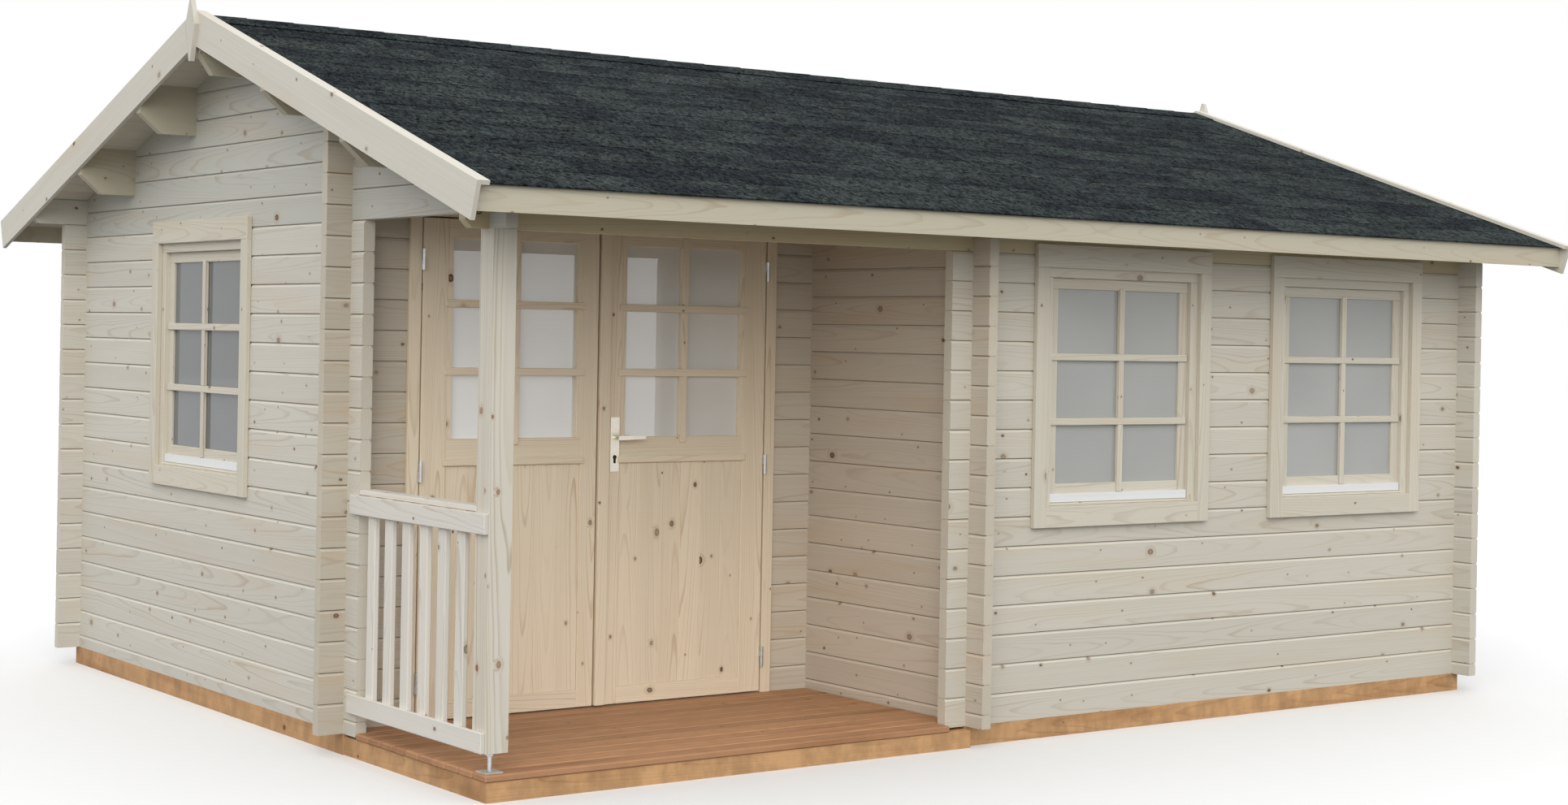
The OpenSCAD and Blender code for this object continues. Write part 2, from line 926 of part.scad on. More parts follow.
module door_frame() {
    stop_y = door_y + log_t - stop_t;
    color(SPRUCE) house() {
        along_y(door_y, log_t) door_surround(0, 0, eaves_z);
        along_y(stop_y, stop_t)
            difference() {
                translate([jamb_in, deck_top])
                    square([jamb_far - jamb_in, eaves_z - head_t - deck_top]);
                translate([jamb_in + stop_w, deck_top - past])
                    square([
                        jamb_far - jamb_in - 2 * stop_w,
                        eaves_z - head_t - deck_top - stop_w + past
                    ]);
            }
    }
}

module door_casing() {
    out = door_casing_w - jamb_t;
    color(SPRUCE) house()
        along_y(door_y - door_casing_t, door_casing_t)
            door_surround(out, deck_top, eaves_z - head_t + door_casing_w);
}

module door_threshold() {
    color(SPRUCE) house()
        translate([jamb_in, door_y, 0]) cube([jamb_far - jamb_in, log_t, deck_top]);
}

// A leaf from x0, with its glass opening at glass_x and its lower panel let in on both faces
module leaf(x0, width, glass_x) {
    panel_z = leaf_z + leaf_low_rail;
    difference() {
        translate([x0, leaf_y, leaf_z]) cube([width, leaf_t, leaf_h]);
        translate([glass_x, leaf_y - past, leaf_glass_z])
            cube([leaf_glass_w, leaf_t + 2 * past, leaf_glass_h]);
        leaf_glass(glass_x);
        for (y = [leaf_y - past, leaf_y + leaf_t - panel_in])
            translate([glass_x - panel_side, y, panel_z])
                cube([leaf_glass_w + 2 * panel_side, panel_in + past, panel_top - panel_z]);
    }
}

module leaf_glass(glass_x) {
    translate([glass_x - glass_in, glass_y - glass_t / 2, leaf_glass_z - glass_in])
        cube([leaf_glass_w + 2 * glass_in, glass_t, leaf_glass_h + 2 * glass_in]);
}

module left_leaf() {
    color(SPRUCE) house() leaf(left_leaf_x, left_leaf_w, left_glass_x);
}

module right_leaf() {
    color(SPRUCE) house() {
        leaf(right_leaf_x, right_leaf_w, right_glass_x);
        translate([right_leaf_x, leaf_y - cover_t, leaf_z]) cube([cover_w, cover_t, leaf_h]);
    }
}

module left_leaf_glass() {
    color(GLASS) house() leaf_glass(left_glass_x);
}

module right_leaf_glass() {
    color(GLASS) house() leaf_glass(right_glass_x);
}

// Lower halves of the hinges on one side, with their pins; side is 1 where the frame lies towards -X
module hinge_lower(x, side) {
    for (z = hinge_zs)
        translate([x, hinge_y, z - barrel_half]) {
            cylinder(r = barrel_r, h = barrel_half - half_joint);
            cylinder(r = pin_r, h = barrel_half + pin_reach);
            translate([side > 0 ? -web_w : 0, 0, 0])
                cube([web_w, door_y - door_casing_t - hinge_y, barrel_half - half_joint]);
        }
}

// Upper halves, which turn with the leaf
module hinge_upper(x, side) {
    for (z = hinge_zs)
        translate([x, hinge_y, z]) difference() {
            union() {
                cylinder(r = barrel_r, h = barrel_half);
                translate([side > 0 ? 0 : -web_w, 0, 0]) cube([web_w, hinge_out, barrel_half]);
            }
            translate([0, 0, -past])
                cylinder(r = pin_r + run_fit, h = past + pin_reach + half_joint);
        }
}

module hinge_pins() {
    color(STEEL) house() {
        hinge_lower(left_hinge_x, 1);
        hinge_lower(right_hinge_x, -1);
    }
}

module left_knuckles() {
    color(STEEL) house() hinge_upper(left_hinge_x, 1);
}

module right_knuckles() {
    color(STEEL) house() hinge_upper(right_hinge_x, -1);
}

module handle_plate() {
    color(STEEL) house() difference() {
        translate([lever_x - plate_w / 2, leaf_y - plate_t, plate_z])
            cube([plate_w, plate_t, plate_h]);
        translate([lever_x, leaf_y + past, lever_z])
            rotate([90, 0, 0]) cylinder(r = lever_boss_r + run_fit, h = plate_t + 2 * past);
    }
}

// The lever's boss turns in the plate; its arm tapers towards the hinge side
module lever() {
    color(STEEL) house() translate([lever_x, leaf_y - half_joint, lever_z]) {
        rotate([90, 0, 0]) cylinder(r = lever_boss_r, h = lever_out - half_joint);
        along_y(half_joint - lever_out, lever_t)
            polygon([
                [0, -lever_boss_r],
                [lever_l, -lever_boss_r / 2],
                [lever_l, lever_end - lever_boss_r / 2],
                [0, lever_boss_r]
            ]);
    }
}

// Windows

module framed(w, h, side, low, top) {
    difference() {
        translate([-w / 2, 0]) square([w, h]);
        translate([-w / 2 + side, low]) square([w - 2 * side, h - low - top]);
    }
}

module casing(w) {
    along_y(-casing_t, casing_t) framed(w, win_h, casing_side, casing_low, casing_head);
}

module window_casings() {
    color(SPRUCE) house() {
        at_front_windows() casing(win_w);
        at_gable_window() casing(gable_win_w);
    }
}

module window_frame(w) {
    side = (open_w(w) - sash_w(w)) / 2;
    low = sash_z - open_low;
    translate([0, 0, open_low])
        along_y(0, log_t) framed(open_w(w), open_h, side, low, open_h - low - sash_h);
}

module window_frames() {
    color(SPRUCE) house() {
        at_front_windows() window_frame(win_w);
        at_gable_window() window_frame(gable_win_w);
    }
}

module pane(w) {
    translate([-pane_w(w) / 2 - glass_in, pane_y - glass_t / 2, pane_z - glass_in])
        cube([pane_w(w) + 2 * glass_in, glass_t, pane_h + 2 * glass_in]);
}

module sash(w) {
    difference() {
        translate([0, 0, sash_z])
            along_y(sash_in, log_t - sash_in)
                framed(sash_w(w), sash_h, sash_side, sash_low, sash_top);
        pane(w);
    }
}

module window_sashes() {
    color(SPRUCE) house() {
        at_front_windows() sash(win_w);
        at_gable_window() sash(gable_win_w);
    }
}

module window_glass() {
    color(GLASS) house() {
        at_front_windows() pane(win_w);
        at_gable_window() pane(gable_win_w);
    }
}

base_long_beams();
base_cross_beams();
floor_joists();
room_floor();
porch_front_beam();
porch_joists();
porch_deck();
left_wall();
right_wall();
back_wall();
front_wall();
door_wall_left();
door_wall_right();
door_wall_top();
porch_side_wall();
left_gable();
front_beam();
front_eaves_log();
back_eaves_log();
ridge_purlin();
front_purlins();
back_purlins();
roof_boards_front();
roof_boards_back();
shingles_front();
shingles_back();
left_barge_front();
left_barge_back();
right_barge_front();
right_barge_back();
finials();
fascias();
porch_post();
post_foot();
rails();
handrail();
balusters();
door_frame();
door_casing();
door_threshold();
hinge_pins();
left_leaf();
left_leaf_glass();
left_knuckles();
right_leaf();
right_leaf_glass();
right_knuckles();
handle_plate();
lever();
window_casings();
window_frames();
window_sashes();
window_glass();
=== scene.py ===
import math
import random

import bmesh
import bpy
from mathutils import Matrix, Vector


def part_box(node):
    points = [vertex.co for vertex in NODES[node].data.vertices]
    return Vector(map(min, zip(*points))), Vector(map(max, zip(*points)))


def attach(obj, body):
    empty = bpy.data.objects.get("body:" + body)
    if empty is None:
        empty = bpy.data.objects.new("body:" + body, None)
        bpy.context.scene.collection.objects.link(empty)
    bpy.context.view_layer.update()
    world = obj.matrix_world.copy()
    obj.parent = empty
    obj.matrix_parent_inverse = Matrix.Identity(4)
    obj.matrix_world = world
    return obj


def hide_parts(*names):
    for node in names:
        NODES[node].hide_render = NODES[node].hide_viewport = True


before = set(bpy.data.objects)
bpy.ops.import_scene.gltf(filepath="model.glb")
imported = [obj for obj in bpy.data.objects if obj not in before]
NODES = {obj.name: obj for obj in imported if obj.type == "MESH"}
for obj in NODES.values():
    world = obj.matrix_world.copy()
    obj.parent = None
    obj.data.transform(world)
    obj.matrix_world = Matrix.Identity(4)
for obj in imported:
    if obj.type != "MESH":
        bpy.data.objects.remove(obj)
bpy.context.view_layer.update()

MM = 0.001

# The house's own corner: left wall's face, front wall's face, underside of the first logs
X0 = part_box("left_wall")[0].x
Y0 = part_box("front_wall")[0].y
Z0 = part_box("left_wall")[0].z

# Covering height and thickness of a log, the slot over it, and the slope of the roof
LOG_H = 114 * MM
LOG_T = 44 * MM
SLOT = 4 * MM
PITCH = math.radians(18.1)


def at(x, y, z):
    """A point given in millimetres from the house's own corner."""
    return Vector((X0 + x * MM, Y0 + y * MM, Z0 + z * MM))


def srgb(r, g, b):
    """A colour as it looks, 0 to 255, as the linear colour that a shader takes."""
    def linear(v):
        v /= 255
        return v / 12.92 if v <= 0.04045 else ((v + 0.055) / 1.055) ** 2.4
    return linear(r), linear(g), linear(b), 1.0


# Materials

class Graph:
    """The node tree of a material or a world, built from calls that return sockets."""

    def __init__(self, owner):
        owner.use_nodes = True
        self.owner = owner
        self.tree = owner.node_tree

    def put(self, socket, value):
        if isinstance(value, bpy.types.NodeSocket):
            self.tree.links.new(value, socket)
        else:
            socket.default_value = value

    def node(self, kind, inputs=None, **settings):
        made = self.tree.nodes.new("ShaderNode" + kind)
        for key, value in settings.items():
            setattr(made, key, value)
        for key, value in (inputs or {}).items():
            self.put(made.inputs[key], value)
        return made

    def math(self, operation, a, b=0.0, c=0.0):
        return self.node("Math", {0: a, 1: b, 2: c}, operation=operation).outputs[0]

    def add(self, a, b):
        return self.math("ADD", a, b)

    def sub(self, a, b):
        return self.math("SUBTRACT", a, b)

    def mul(self, a, b):
        return self.math("MULTIPLY", a, b)

    def step(self, value, low, high, to_low=0.0, to_high=1.0):
        """Maps low..high to to_low..to_high along a smooth curve."""
        inputs = {"Value": value, "From Min": low, "From Max": high, "To Min": to_low, "To Max": to_high}
        return self.node("MapRange", inputs, interpolation_type="SMOOTHSTEP").outputs[0]

    def vector(self, x, y, z=0.0):
        return self.node("CombineXYZ", {0: x, 1: y, 2: z}).outputs[0]

    def split(self, vector):
        return self.node("SeparateXYZ", {0: vector}).outputs

    def mix(self, factor, a, b, blend="MIX"):
        """Two colours mixed. The node has sockets of the same names for numbers, so these go by their places."""
        made = self.node("Mix", data_type="RGBA", blend_type=blend)
        self.put(made.inputs[0], factor)
        self.put(made.inputs[6], a)
        self.put(made.inputs[7], b)
        return made.outputs[2]

    def scale(self, colour, factor):
        """A colour made darker or lighter by a factor."""
        return self.mix(1.0, colour, self.node("CombineColor", {0: factor, 1: factor, 2: factor}).outputs[0],
                        "MULTIPLY")

    def noise(self, vector, scale=1.0, detail=2.0, roughness=0.5):
        inputs = {"Vector": vector, "Scale": scale, "Detail": detail, "Roughness": roughness}
        return self.node("TexNoise", inputs).outputs[0]

    def streaks(self, vector, along, across, detail, roughness=0.5):
        """Noise that is drawn out along the grain."""
        drawn = self.node("VectorMath", {0: vector, 1: (along, across, across)}, operation="MULTIPLY").outputs[0]
        return self.noise(drawn, 1.0, detail, roughness)

    def cells(self, vector, scale):
        """One random number for each cell."""
        made = self.node("TexVoronoi", {"Vector": vector, "Scale": scale})
        return self.node("SeparateColor", {0: made.outputs["Color"]}).outputs[0]

    def random(self, value):
        """Three random numbers for one number."""
        made = self.node("TexWhiteNoise", {"W": value}, noise_dimensions="1D")
        return self.node("SeparateColor", {0: made.outputs[1]}).outputs

    def seen(self):
        """1 for what the camera sees, also in metal and through glass, and 0 for light that falls on the house."""
        path = self.node("LightPath").outputs
        direct = self.math("MAXIMUM", path["Is Camera Ray"], path["Is Glossy Ray"])
        return self.math("MAXIMUM", direct, path["Is Transmission Ray"])

    def finish(self, colour, roughness, height=None, distance=0.6 * MM, strength=0.5, **constants):
        """Sets the surface of a material, and returns the material."""
        shader = self.tree.nodes["Principled BSDF"].inputs
        self.put(shader["Base Color"], colour)
        self.put(shader["Roughness"], roughness)
        if height is not None:
            inputs = {"Height": height, "Distance": distance, "Strength": strength}
            self.put(shader["Normal"], self.node("Bump", inputs).outputs[0])
        for key, value in constants.items():
            shader[key.replace("_", " ")].default_value = value
        return self.owner


def material(name):
    """The graph of a new material."""
    return Graph(bpy.data.materials.new(name))


# Looks of wood: its colours, the spacing of its rings in metres, how strongly rings, warm patches and smudges show,
# the cell of face that may hold a knot, the share of cells that do, the knots' radii, and how far boards differ
SPRUCE = {
    "light": srgb(206, 202, 191), "dark": srgb(160, 136, 106), "warm": srgb(204, 184, 158),
    "knot": srgb(74, 50, 34), "halo": srgb(170, 140, 106), "end": srgb(198, 190, 172),
    "rings": 0.0046, "grain": 0.5, "blotch": 0.28, "mottle": 0.0,
    "cell": (0.26, 0.114), "knots": 0.62, "knot_r": (0.0028, 0.012), "tone": 0.08, "rough": 0.68,
}
TRIM = dict(SPRUCE, light=srgb(209, 205, 194), cell=(0.34, 0.10), knots=0.5, rings=0.0042)
RAIL = dict(TRIM, light=srgb(220, 216, 208))
FASCIA = dict(TRIM, light=srgb(192, 186, 166))
# Purlins are darker: painted shade under the roof's overhang.
PURLIN_SHADE = dict(TRIM, light=srgb(184, 178, 158))
JOINERY = dict(SPRUCE, light=srgb(209, 203, 188), cell=(0.34, 0.09), knots=0.5, grain=0.55)
FLOORING = dict(JOINERY, light=srgb(206, 184, 150), warm=srgb(188, 160, 122))
DOOR = dict(JOINERY, light=srgb(233, 219, 195), dark=srgb(178, 150, 114), warm=srgb(226, 204, 172), grain=0.6)
# The roof lining is a little paler than the logs: painted light on its underside.
LINING_PAINTED_LIGHT = dict(SPRUCE, light=srgb(212, 206, 192))
POST = dict(SPRUCE, light=srgb(212, 207, 194), knot=srgb(112, 70, 42), halo=srgb(176, 132, 92), rings=0.0075,
            grain=0.75, cell=(0.30, 0.088), knots=0.6, knot_r=(0.005, 0.019))
TREATED = dict(SPRUCE, light=srgb(192, 150, 106), dark=srgb(150, 108, 68), warm=srgb(158, 114, 72),
               knot=srgb(84, 50, 30), halo=srgb(138, 90, 54), end=srgb(160, 118, 80), cell=(0.4, 0.09), knots=0.4,
               tone=0.16, grain=0.6, blotch=0.75, mottle=0.19)
DECK = dict(TREATED, light=srgb(184, 138, 101), dark=srgb(138, 98, 66), warm=srgb(152, 106, 70), grain=0.7, tone=0.26,
            mottle=0.06)

# Logs differ a little from wall to wall: the front wall's logs are a little darker, the left gable's get painted
# shade, and those in the porch and under the eaves are darker and warmer, painted shade with warm bounce light.
PORCH_SHADE = dict(SPRUCE, light=srgb(199, 189, 174), warm=srgb(196, 170, 138), blotch=0.4)
DOOR_SIDE_SHADE = dict(PORCH_SHADE, light=srgb(206, 197, 181))
EAVES_SHADE = dict(SPRUCE, light=srgb(204, 192, 158), warm=srgb(194, 168, 122), blotch=0.4)
LOG_LOOK = {
    "door_wall_left": dict(PORCH_SHADE, light=srgb(193, 185, 170)), "door_wall_right": DOOR_SIDE_SHADE,
    "door_wall_top": DOOR_SIDE_SHADE, "porch_side_wall": PORCH_SHADE, "front_beam": EAVES_SHADE, "front_eaves_log": EAVES_SHADE,
    "front_wall": dict(SPRUCE, light=srgb(203, 198, 185)), "left_gable": dict(SPRUCE, light=srgb(197, 196, 187)),
}


def knots(g, vector, ends, narrow, look):
    """Knots in cells of a board's face or of its narrow side: their core, heart, halo and strength."""
    along, across, into = g.split(vector)
    cell_a, cell_b = look["cell"]
    beside = g.add(across, g.mul(narrow, g.sub(g.add(into, 0.61), across)))
    place = g.vector(g.mul(along, 1 / cell_a), g.mul(beside, 1 / cell_b))
    cells = g.node("TexVoronoi", {"Vector": place, "Scale": 1.0, "Randomness": 0.95},
                   voronoi_dimensions="2D").outputs
    near = g.split(g.node("VectorMath", {0: place, 1: cells["Position"]}, operation="SUBTRACT").outputs[0])
    pick = g.node("SeparateColor", {0: cells["Color"]}).outputs
    far_a = g.mul(near[0], 0.75 * cell_a)
    far_b = g.mul(near[1], cell_b)
    ragged = g.mul(g.sub(g.noise(vector, 160.0, 1.0), 0.5), 3 * MM)
    distance = g.add(g.math("SQRT", g.add(g.mul(far_a, far_a), g.mul(far_b, far_b))), ragged)
    small, large = look["knot_r"]
    size = g.add(g.mul(g.math("POWER", pick[1], 3.0), large - small), small)
    shown = g.mul(g.step(pick[0], look["knots"], look["knots"] - 0.01), g.sub(1.0, ends))
    core = g.mul(shown, g.step(distance, g.mul(size, 1.08), g.mul(size, 0.9)))
    heart = g.step(distance, g.mul(size, 0.85), g.mul(size, 0.3))
    halo = g.mul(shown, g.step(distance, g.mul(size, 2.8), size))
    return core, heart, halo, g.step(pick[2], 0.0, 1.0, 0.5, 1.0)


def late_wood(g, vector, tone, halo, look):
    """Dark lines of the rings. The pith slants along the board, so that they run out of the face in arcs."""
    along, across, into = g.split(vector)
    slant = g.math("PINGPONG", g.mul(along, 0.018), 0.09)
    slant = g.math("SQRT", g.add(g.mul(slant, slant), 0.00015))
    drift = g.noise(g.vector(g.mul(along, 0.8), g.add(g.mul(tone, 57.3), 9.0)), 1.0, 1.0)
    deep = g.add(into, slant)
    wide = g.add(across, g.mul(g.sub(drift, 0.5), 0.06))
    ripple = g.streaks(vector, 3.2, 16.0, 2.0)
    radius = g.math("SQRT", g.add(g.mul(wide, wide), g.mul(deep, deep)))
    radius = g.add(radius, g.add(g.mul(g.sub(ripple, 0.5), 7 * MM), g.mul(halo, 6 * MM)))
    spread = g.noise(g.vector(g.mul(radius, 60.0), g.mul(tone, 13.0)), 1.0, 1.0)
    year = g.add(g.mul(radius, 1 / look["rings"]), g.mul(spread, 3.0))
    turn = g.math("FRACT", year)
    strong = g.random(g.add(g.math("FLOOR", year), g.mul(tone, 77.0)))[0]
    return g.mul(g.mul(g.step(turn, 0.62, 0.93), g.step(turn, 1.0, 0.94)), g.add(0.2, g.mul(strong, 0.8)))


def figure(g, vector, ends, narrow, tone, look, painted_highlight_and_shade=0.0):
    """Wood: growth rings, fibres and knots. The vector runs along the board, across its face and into it.

    Faces turned up, such as the log chamfers, are paler, a painted highlight, and the slots between logs darker,
    painted shade."""
    core, heart, halo, strength = knots(g, vector, ends, narrow, look)
    fibre = g.streaks(vector, 2.5, 230.0, 3.0)
    patch = g.streaks(vector, 1.1, 11.0, 3.0)
    late = g.mul(late_wood(g, vector, tone, halo, look), g.step(patch, 0.3, 0.65, 0.35, 1.0))
    colour = g.mix(g.mul(late, look["grain"]), look["light"], look["dark"])
    colour = g.mix(g.mul(g.step(patch, 0.48, 0.75), look["blotch"]), colour, look["warm"])
    if look["mottle"]:
        smudge = g.streaks(vector, 13.0, 8.0, 3.0, 0.6)
        colour = g.scale(colour, g.step(smudge, 0.25, 0.75, 1.0 - look["mottle"], 1.0 + look["mottle"]))
    colour = g.mix(g.mul(ends, 0.4), colour, look["end"])
    colour = g.mix(g.mul(halo, 0.3), colour, look["halo"])
    inside = g.mix(g.mul(heart, 0.5), look["knot"], look["halo"])
    colour = g.mix(g.mul(core, strength), colour, inside)
    shade = g.add(1.0 - look["tone"] / 2 - 0.07, g.add(g.mul(tone, look["tone"]), g.mul(fibre, 0.14)))
    # Painted highlight on faces turned up, and painted shade in the slots between logs
    colour = g.scale(colour, g.add(shade, g.mul(painted_highlight_and_shade, 0.14)))
    height = g.sub(g.add(g.mul(fibre, 0.6), g.mul(late, 0.4)), g.mul(core, 0.5))
    rough = g.step(fibre, 0.2, 0.8, look["rough"] - 0.06, look["rough"] + 0.08)
    return g.finish(colour, rough, height, IOR=1.42)


def board_wood(name, look):
    """Wood for pieces made of boards, which carry the run of their grain with them."""
    g = material(name)
    vector = g.node("Attribute", attribute_name="grain").outputs["Vector"]
    tone = g.node("Attribute", attribute_name="tone").outputs["Fac"]
    normal = g.node("TexCoord").outputs["Normal"]
    facing = []
    for key in ("run", "side"):
        axis = g.node("Attribute", attribute_name=key).outputs["Vector"]
        facing.append(g.node("VectorMath", {0: normal, 1: axis}, operation="DOT_PRODUCT").outputs["Value"])
    ends, narrow = (g.step(g.math("ABSOLUTE", value), 0.7, 0.9) for value in facing)
    return figure(g, vector, ends, narrow, tone, look)


def solid_wood(name, look, along, across, into, low, course=0.0, shift=0.0, turn=0.0, seed=0.0):
    """Wood for a solid: its grain runs along one axis, and courses of logs each get their own.

    The courses have a height and are shifted by a share of it. A sloping solid is turned level first."""
    g = material(name)
    source = g.node("TexCoord").outputs
    place, normal = source["Object"], source["Normal"]
    if turn:
        place = g.node("VectorRotate", {"Vector": place, "Angle": turn}, rotation_type="X_AXIS").outputs[0]
        normal = g.node("VectorRotate", {"Vector": normal, "Angle": turn}, rotation_type="X_AXIS").outputs[0]
    xyz = g.split(place)
    height = g.sub(xyz[across], low[across])
    row = 0.0
    if course:
        row = g.math("FLOOR", g.sub(g.mul(height, 1 / course), shift))
        height = g.sub(height, g.mul(g.add(row, shift), course))
    chance = g.random(g.add(row, 0.37 + seed))
    vector = g.vector(g.add(xyz[along], g.mul(chance[0], 23.0)),
                      g.sub(height, g.mul(chance[1], 0.14)),
                      g.add(g.sub(xyz[into], low[into]), g.add(g.mul(chance[2], 0.11), 0.015)))
    facing = g.split(normal)
    ends, narrow = (g.step(g.math("ABSOLUTE", facing[axis]), 0.7, 0.9) for axis in (along, across))
    painted_highlight_and_shade = 0.0
    if course:
        # Faces turned up, the log chamfers among them, get a painted highlight; the faces in the slot over each log
        # get painted shade, less on log ends.
        slot = g.mul(g.step(height, course - SLOT - 0.5 * MM, course - SLOT), g.sub(1.0, g.mul(ends, 0.5)))
        painted_highlight_and_shade = g.sub(g.step(facing[2], 0.3, 0.5), g.mul(slot, 3.2))
    return figure(g, vector, ends, narrow, chance[0], look, painted_highlight_and_shade)


def shingle_felt():
    """Bitumen felt with mineral granules: dark, speckled, each strip of its own tone, darker along its cut edge."""
    g = material("shingle_felt")
    place = g.node("TexCoord").outputs["Object"]
    tone = g.node("Attribute", attribute_name="tone").outputs["Fac"]
    edge = g.node("Attribute", attribute_name="edge").outputs["Fac"]
    xyz = g.split(place)
    spot = g.vector(xyz[0], g.mul(xyz[1], 0.5), xyz[2])
    grain = g.cells(spot, 210.0)
    clump = g.cells(spot, 90.0)
    drift = g.noise(g.vector(g.mul(xyz[0], 1.6), g.mul(tone, 40.0), g.mul(xyz[1], 4.0)), 1.0, 4.0, 0.65)
    cloud = g.noise(place, 1.1, 2.0)
    colour = g.mix(g.step(drift, 0.36, 0.64), srgb(41, 45, 49), srgb(60, 66, 65))
    speckle = g.mul(g.add(g.math("POWER", grain, 3.0), g.mul(clump, 1.1)), 0.9)
    colour = g.scale(colour, g.add(g.mul(cloud, 0.3), speckle))
    broken = g.step(g.noise(g.vector(g.mul(xyz[0], 5.0), g.mul(xyz[1], 9.0)), 1.0, 3.0), 0.4, 0.6)
    colour = g.mix(g.mul(g.step(edge, 0.9, 0.99), g.mul(broken, 0.6)), colour, srgb(22, 24, 26))
    return g.finish(colour, 0.95, grain, 2 * MM, 0.6, IOR=1.05)


def metal(name, colour, rough, spangle):
    """Zinc or satin metal with a fine cloudy finish."""
    g = material(name)
    place = g.node("TexCoord").outputs["Object"]
    cloud = g.noise(place, spangle, 3.0, 0.6)
    shade = g.scale(colour, g.step(cloud, 0.3, 0.7, 0.86, 1.06))
    return g.finish(shade, g.step(cloud, 0.25, 0.75, rough - 0.06, rough + 0.08), cloud, 0.2 * MM, 0.3, Metallic=1.0)


# Colour of the gable panes: their tint and their darker painted reflection
GABLE_TINT_AND_REFLECTION = srgb(150, 152, 153)


def glass(name, tint_and_reflection, painted_reflection, ior):
    """Glass with a thin pale diffuse layer on it, a painted reflection of the sky, so that it doesn't go black in
    front of the dark room.

    The panes of the gable window are darker, because they mirror less of the sky."""
    g = material(name)
    place = g.node("TexCoord").outputs["Object"]
    wave = g.noise(place, 2.2, 1.0)
    # Mask of the gable panes, which get the darker painted reflection
    gable = g.step(g.split(place)[0], X0 + LOG_T + 20 * MM, X0 + LOG_T)
    tint_and_reflection = g.mix(gable, tint_and_reflection, GABLE_TINT_AND_REFLECTION)
    # The share that doesn't transmit is a pale diffuse layer, a painted reflection of the sky
    return g.finish(g.scale(tint_and_reflection, g.step(wave, 0.3, 0.7, 0.95, 1.03)), 0.0, wave, 0.4 * MM, 0.15, IOR=ior,
                    Transmission_Weight=1.0 - painted_reflection)


def enamel(name, colour):
    """Coated aluminium with the faint streaks of its rolling."""
    g = material(name)
    xyz = g.split(g.node("TexCoord").outputs["Object"])
    streak = g.noise(g.vector(g.mul(xyz[0], 3.0), g.mul(xyz[1], 3.0), g.mul(xyz[2], 260.0)), 1.0, 2.0)
    return g.finish(g.scale(colour, g.step(streak, 0.3, 0.7, 0.95, 1.0)), 0.42, streak, 0.1 * MM, 0.3)


FELT = shingle_felt()
ZINC = metal("galvanised_steel", srgb(208, 210, 211), 0.5, 60.0)
SATIN = metal("satin_metal", srgb(232, 226, 212), 0.34, 18.0)
KEYHOLE = metal("keyhole_dark", srgb(52, 50, 48), 0.5, 200.0)
# The pale diffuse share of each pane is a painted reflection of the sky; the door panes, in the porch's shade, get a
# stronger and paler one.
WINDOW_PANE = glass("window_pane", srgb(216, 217, 214), 0.5, 1.45)
DOOR_PANE = glass("door_pane", srgb(240, 240, 236), 0.88, 2.2)
DRIP = enamel("drip_strip", srgb(226, 228, 228))
BOARD = {
    "rail": board_wood("rail_boards", RAIL),
    "window": board_wood("window_boards", JOINERY),
    "door": board_wood("door_boards", DOOR),
    "deck": board_wood("deck_boards", DECK),
    "floor": board_wood("floor_boards", FLOORING),
    "roof": board_wood("roof_lining", LINING_PAINTED_LIGHT),
}


def paint(node, look):
    """Gives a CAD node its material."""
    slots = NODES[node].data.materials
    slots.clear()
    slots.append(look)


X, Y, Z = range(3)
for seed, (name, along) in enumerate([
        ("back_wall", X), ("front_wall", X), ("door_wall_left", X), ("door_wall_right", X), ("door_wall_top", X),
        ("front_beam", X), ("front_eaves_log", X), ("back_eaves_log", X),
        ("left_wall", Y), ("right_wall", Y), ("porch_side_wall", Y), ("left_gable", Y)]):
    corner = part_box(name)[0]
    base = Vector((corner.x, corner.y, Z0))
    paint(name, solid_wood("logs_" + name, LOG_LOOK.get(name, SPRUCE), along, Z, X + Y - along, base, course=LOG_H,
                           shift=0.0 if along == X else 0.5, seed=40.0 * seed))
for seed, name in enumerate(["ridge_purlin", "front_purlins", "back_purlins", "fascias"]):
    look = FASCIA if name == "fascias" else PURLIN_SHADE
    paint(name, solid_wood("wood_" + name, look, X, Z, Y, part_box(name)[0], seed=7.0 + seed))
for side, turn in (("front", -PITCH), ("back", PITCH)):
    for end in ("left", "right"):
        name = f"{end}_barge_{side}"
        top = Matrix.Rotation(turn, 3, "X") @ Vector((0, 0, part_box(name)[1].z))
        paint(name, solid_wood("wood_" + name, TRIM, Y, Z, X, Vector((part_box(name)[0].x, 0, top.z)), turn=turn,
                               seed=11.0 + len(name) + turn))
corner = Vector((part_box("finials")[0].x, -50 * MM, 0))
paint("finials", solid_wood("wood_finials", TRIM, Z, Y, X, corner, seed=3.0))
paint("porch_post", solid_wood("wood_porch_post", POST, Z, X, Y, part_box("porch_post")[0], seed=5.0))
for seed, (name, along) in enumerate([
        ("base_long_beams", X), ("porch_front_beam", X), ("floor_joists", X), ("base_cross_beams", Y),
        ("porch_joists", Y)]):
    paint(name, solid_wood("treated_" + name, TREATED, along, Z, X + Y - along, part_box(name)[0], seed=60.0 + seed))
for name in ("post_foot", "hinge_pins", "left_knuckles", "right_knuckles"):
    paint(name, ZINC)
for name in ("handle_plate", "lever"):
    paint(name, SATIN)
for name in ("left_leaf_glass", "right_leaf_glass"):
    paint(name, DOOR_PANE)
paint("window_glass", WINDOW_PANE)


# Pieces made of boards

FINE, EDGE, SOFT, ROUND = 1 * MM, 1.5 * MM, 2 * MM, 3 * MM  # chamfers
CORNERS = [(a, b, c) for a in (-1, 1) for b in (-1, 1) for c in (-1, 1)]


def corner_of(axis, s, a, b):
    """A corner of a box: its sign on one axis, and on the two axes that follow it."""
    return ((s, a, b), (b, s, a), (a, b, s))[axis]


